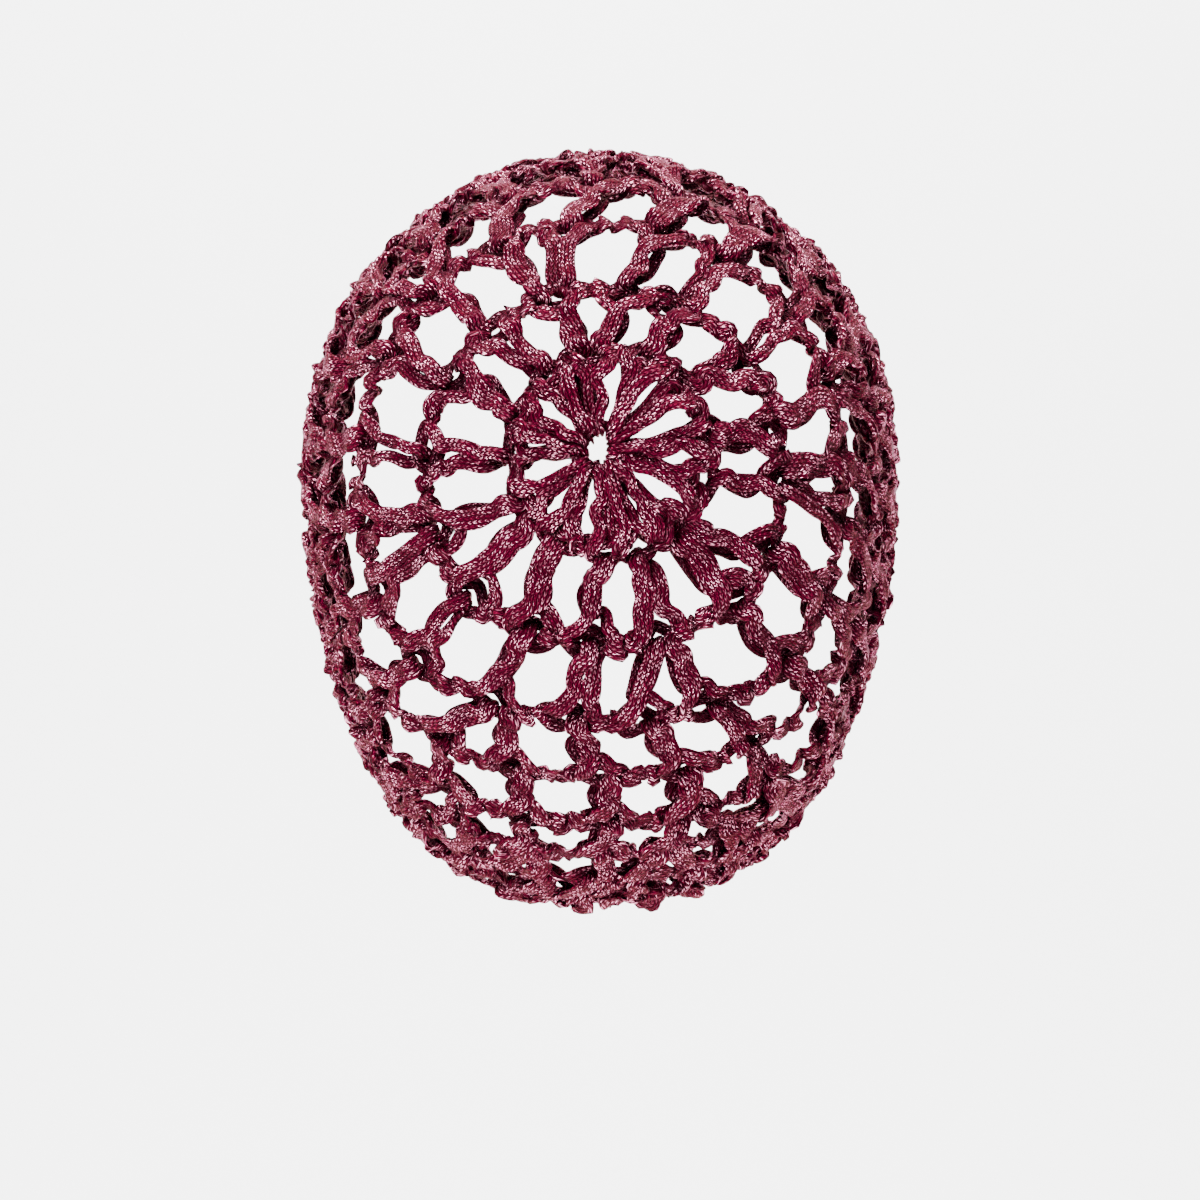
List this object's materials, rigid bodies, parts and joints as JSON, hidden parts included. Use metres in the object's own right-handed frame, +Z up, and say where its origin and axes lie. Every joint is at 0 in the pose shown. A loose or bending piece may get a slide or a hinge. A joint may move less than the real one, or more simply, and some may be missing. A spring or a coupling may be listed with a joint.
{
  "type": "crochet hair snood",
  "caption": "Crochet hair snood: a cap of open burgundy ribbon net worked in rounds from a rosette at the back to a dense gathered rim, in its worn shape.",
  "frame": {"origin": "on the inner face at the top of the crown, where the snood rests on the head", "axes": "+Z up, +Y towards the wearer's face, +X to the wearer's right as seen from behind"},
  "size_m": [0.1672, 0.1247, 0.2119],
  "materials": {
    "rayon_ribbon": "satin"
  },
  "bodies": {
    "root": {"rosette": "rayon_ribbon", "net_round_2": "rayon_ribbon", "net_round_3": "rayon_ribbon", "net_round_4": "rayon_ribbon", "net_round_5": "rayon_ribbon", "net_round_6": "rayon_ribbon", "dense_round_7": "rayon_ribbon", "dense_round_8": "rayon_ribbon", "rim_edge": "rayon_ribbon"}
  },
  "joints": []
}
